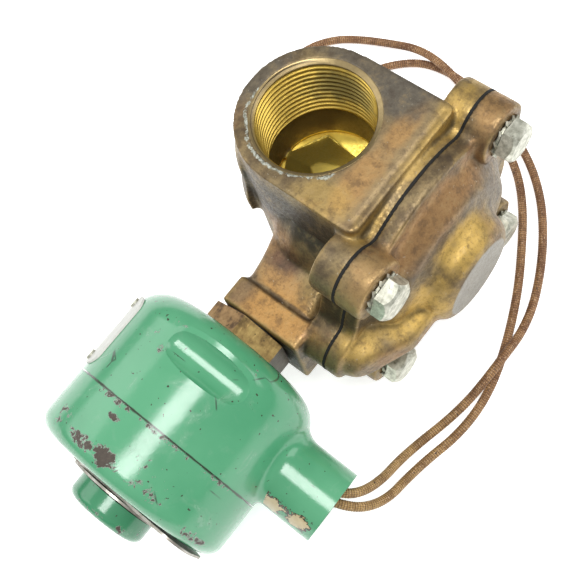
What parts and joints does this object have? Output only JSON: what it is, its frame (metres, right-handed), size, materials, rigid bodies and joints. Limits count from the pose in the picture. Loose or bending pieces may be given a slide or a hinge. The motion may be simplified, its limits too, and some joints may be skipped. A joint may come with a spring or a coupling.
{
  "type": "solenoid valve",
  "caption": "Pilot-operated two-way diaphragm solenoid valve with female threaded ports, bolted bonnet, hex base, round coil housing with conduit hub and free lead wires.",
  "frame": {"origin": "centre of the outlet port's mouth, on the bottom port face that the valve stands on", "axes": "+Z along the port axis from outlet to inlet, -Y out through the bonnet, -X out along the solenoid; right-handed"},
  "size_m": [0.2237, 0.1549, 0.09],
  "materials": {
    "cast_bronze": "rough sand-cast bronze with brown patina",
    "turned_brass": "turned, dull",
    "hex_brass": "machined hexagon, tarnished",
    "black_rubber": "matte",
    "stainless": "turned, fine",
    "zinc_steel": "zinc plated, dulled",
    "strap_steel": "bare strap",
    "bobbin_plastic": "moulded",
    "winding_tape": "taped winding",
    "fibre": "pressed fibre",
    "green_enamel": "glossy enamel, chipped",
    "cap_enamel": "dark glossy enamel, worn rim",
    "blank_plate": "bare, scuffed",
    "end_plate_steel": "bare, stained",
    "braid": "fine braided sleeve",
    "bare_copper": "tinned copper strands"
  },
  "bodies": {
    "valve": {"valve_body": "cast_bronze", "bonnet": "cast_bronze", "diaphragm": "black_rubber", "main_spring": "stainless", "bonnet_screws": "zinc_steel", "lock_washers": "zinc_steel", "pilot_seat": "turned_brass", "base_gasket": "black_rubber", "solenoid_base": "hex_brass", "core_tube": "stainless", "fixed_core": "stainless", "core_spring": "stainless", "coil_bobbin": "bobbin_plastic", "coil_winding": "winding_tape", "insulating_washers": "fibre", "yoke": "strap_steel", "housing": "green_enamel", "conduit_hub": "green_enamel", "housing_cover": "green_enamel", "side_plate": "blank_plate", "plate_pins": "zinc_steel", "end_plate": "end_plate_steel", "dished_washer": "end_plate_steel", "retaining_cap": "cap_enamel", "lead_wire_a": "braid", "lead_wire_b": "braid", "lead_tip_a": "bare_copper", "lead_tip_b": "bare_copper"},
    "main_disc": {"bleed_eyelet": "turned_brass", "seat_disc": "black_rubber", "disc_washer": "turned_brass", "diaphragm_plate": "turned_brass", "disc_stud": "stainless", "stud_nut": "stainless"},
    "plunger": {"moving_core": "stainless", "core_disc": "black_rubber"}
  },
  "joints": [
    {"name": "main_disc_lift", "type": "slide", "parent": "valve", "child": "main_disc", "axis": [0, -1, 0], "range_m": [0, 0.006], "stiffness_N_per_m": 300, "springref_m": -0.004, "deforming": ["diaphragm", "main_spring"]},
    {"name": "plunger_lift", "type": "slide", "parent": "valve", "child": "plunger", "axis": [-1, 0, 0], "range_m": [0, 0.0024], "stiffness_N_per_m": 400, "springref_m": -0.003, "deforming": ["core_spring"]}
  ]
}
